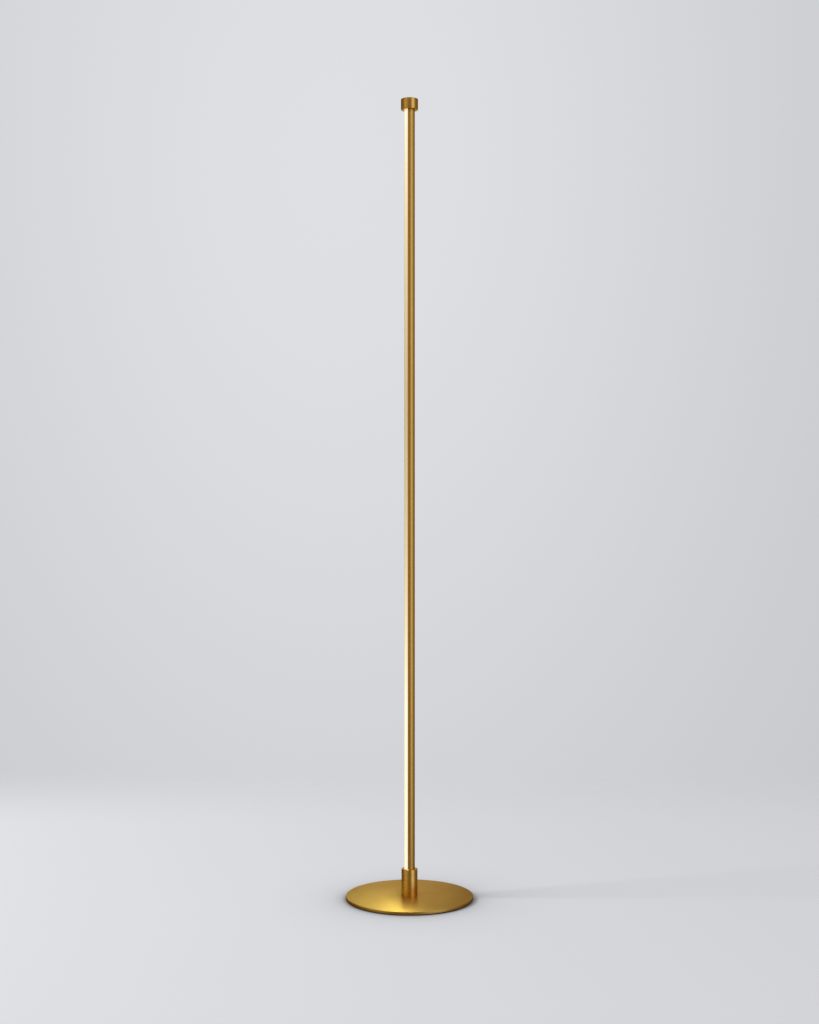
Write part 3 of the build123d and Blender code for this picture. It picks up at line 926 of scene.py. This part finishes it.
# The camera stands level in front of the lamp: metres, and millimetres for its lens and its sensor
CAMERA_DISTANCE = 2.787
CAMERA_HEIGHT = 0.7255
CAMERA_LENS = 52.2
CAMERA_SENSOR = 36.0

# The painted floor reaches this far each way, in equal cells
FLOOR_HALF = 2.4
FLOOR_CELLS = 8
# It fades into the backdrop between these distances from the lamp, to its sides and behind it
FLOOR_FADE_SIDE = (1.15, 1.8)
FLOOR_FADE_BACK = (0.62, 1.42)
# Near the plate the floor has a painted shadow: the share of its colour darkened at the plate's edge, the
# distance from the edge at which half of that is darkened, and the distance at which none is
PAINTED_SHADOW_EDGE = 0.7
PAINTED_SHADOW_HALF = 6.5 * MM
PAINTED_SHADOW_END = 200.0 * MM

# The backdrop's light: the way to its middle, its narrowing up and down, and the angle at which it ends
BACKDROP_LIGHT = (-0.05, 0.97, 0.23)
BACKDROP_NARROWING = (1.0, 1.0, 0.62)
BACKDROP_FADE = radians(28.0)

# The key light, which casts the column's shadow
KEY_PLACE = (-5.5, -0.9, 3.8)
KEY_AIM = (0.0, 0.0, 0.2)
KEY_SIZE = 1.7

# Drapes and soft boxes stand in a ring round the lamp, which only reflections show
RING_RADIUS = 3.4
RING_LOW = -10.0
RING_HIGH = 3.4
# It ends at these degrees from the camera on both sides
RING_END = 175.0
# Its heights and their share of its light: it dims towards its foot, with a pale floor below
RING_LEVELS = ((-2.8, 0.5), (-1.8, 0.1), (-1.1, 0.1), (-0.7, 1.0))
# What stands there, by degrees from the camera round to the right
RING_STANDS = (
    (-175.0, "drape"),
    (-140.0, "drape"),
    (-112.0, "room"),
    (-92.0, "room"),
    (-64.0, "left_box"),
    (-46.0, "left_box"),
    (-12.0, "room"),
    (18.0, "room"),
    (41.0, "right_box"),
    (51.0, "right_box"),
    (84.0, "room"),
    (130.0, "room"),
    (160.0, "drape"),
    (175.0, "drape"),
)


def level_camera():
    """The camera, which looks level along +Y at the lamp."""
    camera_data = bpy.data.cameras.new("camera")
    camera_data.sensor_width = CAMERA_SENSOR
    camera_data.lens = CAMERA_LENS
    camera = add_object("camera", camera_data)
    camera.location = (0.0, -CAMERA_DISTANCE, CAMERA_HEIGHT)
    camera.rotation_euler = (pi / 2, 0.0, 0.0)
    return camera


def key_light(look):
    """The light that casts the shadow, high up at the left, unseen by the camera and in the metal."""
    key_data = bpy.data.lights.new("key", "AREA")
    key_data.size = KEY_SIZE
    key_data.energy = look.key_power
    key = add_object("key", key_data)
    key.location = KEY_PLACE
    key.rotation_euler = (Vector(KEY_AIM) - key.location).to_track_quat("-Z", "Y").to_euler()
    key.visible_camera = False
    key.visible_glossy = False


def ring_cloth(look):
    """Box cloth and drapes, which run into each other and are much dimmer towards their foot."""
    material, tree = new_material("Drapes and box cloth")
    place = add_node(tree, "TexCoord")
    part = add_node(tree, "SeparateXYZ", {0: place.outputs["UV"]})
    cloth = add_node(tree, "ValToRGB", {"Fac": part.outputs["X"]})
    level = add_node(tree, "ValToRGB", {"Fac": part.outputs["Y"]})
    stands = [((bearing / RING_END + 1) / 2, getattr(look, stand)) for bearing, stand in RING_STANDS]
    levels = [
        ((height - RING_LOW) / (RING_HIGH - RING_LOW), [share * look.ring_strength] * 3 + [1.0])
        for height, share in RING_LEVELS
    ]
    for ramp, stops in ((cloth, stands), (level, levels)):
        elements = ramp.color_ramp.elements
        while len(elements) < len(stops):
            elements.new(1.0)
        for element, (position, tone) in zip(elements, stops):
            element.position = position
            element.color = tone
    light = add_node(tree, "Emission", {"Color": cloth, "Strength": level})
    add_node(tree, "OutputMaterial", {"Surface": light})
    return material


def studio_ring(look):
    """The wall of the ring, with its way round and its height as its UV map."""
    end = radians(RING_END)
    steps = ceil(2 * RING_END / ARC_STEP)
    bm = bmesh.new()
    uv_map = bm.loops.layers.uv.new("ring")
    columns = []
    for step in range(steps + 1):
        share = step / steps
        bearing = end * (2 * share - 1)
        x, y = RING_RADIUS * sin(bearing), -RING_RADIUS * cos(bearing)
        columns.append((share, bm.verts.new((x, y, RING_LOW)), bm.verts.new((x, y, RING_HIGH))))
    for (share, foot, head), (next_share, next_foot, next_head) in zip(columns, columns[1:]):
        face = bm.faces.new((foot, next_foot, next_head, head))
        for loop, uv in zip(face.loops, ((share, 0), (next_share, 0), (next_share, 1), (share, 1))):
            loop[uv_map].uv = uv
    ring = piece_from(bm, "studio_ring")
    ring.data.materials.append(ring_cloth(look))
    ring.visible_camera = False
    ring.visible_diffuse = False
    ring.visible_transmission = False
    ring.visible_volume_scatter = False
    ring.visible_shadow = False


def floor_paint(tint, plate_radius):
    """Matt floor paint with a faint roller texture, and a painted shadow round the plate.

    It fades into the backdrop at the floor's edges.
    """
    material, tree = new_material("Floor paint, rolled and matt")
    roller_width = 6.0 * MM
    roller_depth = 0.1 * MM
    roller_relief = 0.05
    black = (0.0, 0.0, 0.0, 1.0)
    place = add_node(tree, "TexCoord").outputs["Object"]
    grain = add_node(tree, "TexNoise", {"Vector": place, "Scale": 1 / roller_width, "Detail": 2.0})
    relief = add_node(tree, "Bump", {"Height": grain, "Strength": roller_relief, "Distance": roller_depth})
    # The painted shadow darkens half as much as at the edge at one half distance from the edge, a third at
    # two, and so on
    radius = add_node(tree, "VectorMath", {0: place}, operation="LENGTH")
    parts = add_node(
        tree,
        "Math",
        {0: radius, 1: 1 / PAINTED_SHADOW_HALF, 2: 1 - plate_radius / PAINTED_SHADOW_HALF},
        operation="MULTIPLY_ADD",
    )
    painted_darkening = add_node(tree, "Math", {0: PAINTED_SHADOW_EDGE, 1: parts}, operation="DIVIDE")
    painted_darkening_at_end = PAINTED_SHADOW_EDGE / (1 + PAINTED_SHADOW_END / PAINTED_SHADOW_HALF)
    # Painted shadow: the paint is mixed towards black by this darkening, down to none at the shadow's end
    shade = add_node(tree, "MapRange", {"Value": painted_darkening, "From Min": painted_darkening_at_end})
    tone = add_node(tree, "Mix", {"Factor": shade, "A": tint, "B": black}, data_type="RGBA")
    paint = add_node(tree, "BsdfDiffuse", {"Color": tone, "Normal": relief})
    # The paint is whole up to the first distance of a fade and gone past the second
    across = add_node(tree, "SeparateXYZ", {0: place})
    covers = []
    for axis, (whole, gone) in (("X", FLOOR_FADE_SIDE), ("Y", FLOOR_FADE_BACK)):
        away = add_node(tree, "Math", {0: across.outputs[axis]}, operation="ABSOLUTE")
        fade = {"Value": away, "From Min": gone, "From Max": whole}
        covers.append(add_node(tree, "MapRange", fade, interpolation_type="SMOOTHSTEP"))
    cover = add_node(tree, "Math", dict(enumerate(covers)), operation="MULTIPLY")
    clear = add_node(tree, "BsdfTransparent")
    mix = add_node(tree, "MixShader", {0: cover, 1: clear, 2: paint})
    add_node(tree, "OutputMaterial", {"Surface": mix})
    return material


def painted_floor(look):
    """The floor under the lamp, which the metal doesn't show."""
    bm = bmesh.new()
    bmesh.ops.create_grid(bm, x_segments=FLOOR_CELLS, y_segments=FLOOR_CELLS, size=FLOOR_HALF)
    floor = piece_from(bm, "floor")
    floor.data.materials.append(floor_paint(look.floor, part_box("base_plate")[1].x))
    floor.visible_glossy = False


def backdrop_world(look):
    """The backdrop that the camera and the metal see, and the even light that falls on the lamp."""
    world = bpy.data.worlds.new("Studio")
    world.use_nodes = True
    tree = world.node_tree
    tree.nodes.clear()
    middle = Vector(BACKDROP_LIGHT).normalized()
    white = (1.0, 1.0, 1.0, 1.0)
    way = add_node(tree, "TexCoord").outputs["Generated"]
    offset = add_node(tree, "VectorMath", {0: way, 1: middle}, operation="SUBTRACT")
    narrowed = add_node(tree, "VectorMath", {0: offset, 1: BACKDROP_NARROWING}, operation="MULTIPLY")
    away = add_node(tree, "VectorMath", {0: narrowed}, operation="LENGTH")
    dim = add_node(
        tree, "MapRange", {"Value": away, "From Max": BACKDROP_FADE}, interpolation_type="SMOOTHSTEP"
    )
    tone = add_node(
        tree, "Mix", {"Factor": dim, "A": look.backdrop, "B": look.backdrop_edge}, data_type="RGBA"
    )
    seen = add_node(tree, "Background", {"Color": tone, "Strength": 1.0})
    even = add_node(tree, "Background", {"Color": white, "Strength": look.ambient})
    ray = add_node(tree, "LightPath").outputs
    direct = add_node(
        tree, "Math", {0: ray["Is Camera Ray"], 1: ray["Is Glossy Ray"]}, operation="MAXIMUM"
    )
    shown = add_node(tree, "Math", {0: direct, 1: ray["Is Transmission Ray"]}, operation="MAXIMUM")
    mix = add_node(tree, "MixShader", {0: shown, 1: even, 2: seen})
    add_node(tree, "OutputWorld", {"Surface": mix})
    return world


class LAMP_OT_stage(bpy.types.Operator):
    """Set up the camera, the floor, the drapes and soft boxes, the key light and the backdrop"""

    bl_idname = "lamp.stage"
    bl_label = "Studio"

    def execute(self, context):
        scene, look = context.scene, context.scene.studio_look
        scene.camera = level_camera()
        scene.view_settings.view_transform = "Standard"
        painted_floor(look)
        studio_ring(look)
        key_light(look)
        scene.world = backdrop_world(look)
        return {"FINISHED"}


OPERATORS = (
    LAMP_OT_base_plate,
    LAMP_OT_base_pad,
    LAMP_OT_turned_pieces,
    LAMP_OT_column_profile,
    LAMP_OT_diffuser,
    LAMP_OT_rubber_pieces,
    LAMP_OT_screws,
    LAMP_OT_swivel_fittings,
    LAMP_OT_light_engine,
    LAMP_OT_stage,
)


class LAMP_PT_panel(bpy.types.Panel):
    """The lamp's sizes and colours, its pieces and its studio"""

    bl_idname = "LAMP_PT_panel"
    bl_label = "LED Floor Lamp"
    bl_space_type = "VIEW_3D"
    bl_region_type = "UI"
    bl_category = "Floor Lamp"

    def draw(self, context):
        scene = context.scene
        for settings in (scene.lamp_sizes, scene.lamp_colours, scene.studio_look):
            for name in type(settings).__annotations__:
                self.layout.prop(settings, name)
        for operator in OPERATORS:
            self.layout.operator(operator.bl_idname)


CLASSES = (LampSizes, LampColours, StudioLook, *OPERATORS, LAMP_PT_panel)


def register():
    """Makes the lamp's settings, operators and panel known."""
    for item in CLASSES:
        bpy.utils.register_class(item)
    bpy.types.Scene.lamp_sizes = PointerProperty(type=LampSizes)
    bpy.types.Scene.lamp_colours = PointerProperty(type=LampColours)
    bpy.types.Scene.studio_look = PointerProperty(type=StudioLook)


def unregister():
    """Takes away what register made known."""
    del bpy.types.Scene.studio_look
    del bpy.types.Scene.lamp_colours
    del bpy.types.Scene.lamp_sizes
    for item in reversed(CLASSES):
        bpy.utils.unregister_class(item)


def main():
    """Makes every piece and the studio."""
    register()
    bpy.ops.lamp.base_plate()
    bpy.ops.lamp.base_pad()
    bpy.ops.lamp.turned_pieces()
    bpy.ops.lamp.column_profile()
    bpy.ops.lamp.diffuser()
    bpy.ops.lamp.rubber_pieces()
    bpy.ops.lamp.screws()
    bpy.ops.lamp.swivel_fittings()
    bpy.ops.lamp.light_engine()
    bpy.ops.lamp.stage()


if __name__ == "__main__":
    main()
